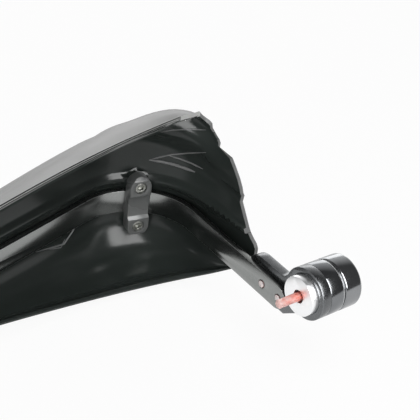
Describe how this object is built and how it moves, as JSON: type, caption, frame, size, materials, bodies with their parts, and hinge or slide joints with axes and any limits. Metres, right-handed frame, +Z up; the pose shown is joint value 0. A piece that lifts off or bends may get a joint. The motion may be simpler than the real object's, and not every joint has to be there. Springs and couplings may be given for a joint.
{
  "type": "motorcycle hand guard",
  "caption": "Right-hand motorcycle hand guard: moulded wind shell clamped to a bent flat bar, with a bar-end weight, spacer and fixing bolt.",
  "frame": {"origin": "on the handlebar's axis, at the seat of the bar-end spacer", "axes": "+X outboard along the handlebar, +Y forward, +Z up"},
  "size_m": [0.2516, 0.193, 0.1254],
  "materials": {
    "shell_plastic": "glossy injection-moulded black, satin on the outer face",
    "bar_metal": "satin black anodised",
    "clamp_black": "semi-gloss black",
    "screw_black": "black oxide",
    "insert_brass": "knurled",
    "arm_black": "black anodised, machined",
    "screw_steel": "zinc plated",
    "spacer_silver": "turned bright",
    "weight_black": "black anodised, turned",
    "bolt_coated": "zinc plated with a salmon-red thread-lock coating"
  },
  "bodies": {
    "root": {"guard_shell": "shell_plastic", "backbone_bar": "bar_metal", "bridge_clamp": "clamp_black", "bridge_screw_upper": "screw_black", "bridge_screw_lower": "screw_black", "insert_upper": "insert_brass", "insert_lower": "insert_brass", "weight_arm": "arm_black", "arm_screw_front": "screw_steel", "arm_screw_rear": "screw_steel", "bar_end_spacer": "spacer_silver", "weight_inner": "weight_black", "weight_outer": "weight_black", "bar_end_bolt": "bolt_coated", "bar_end_washer": "screw_steel"}
  },
  "joints": []
}
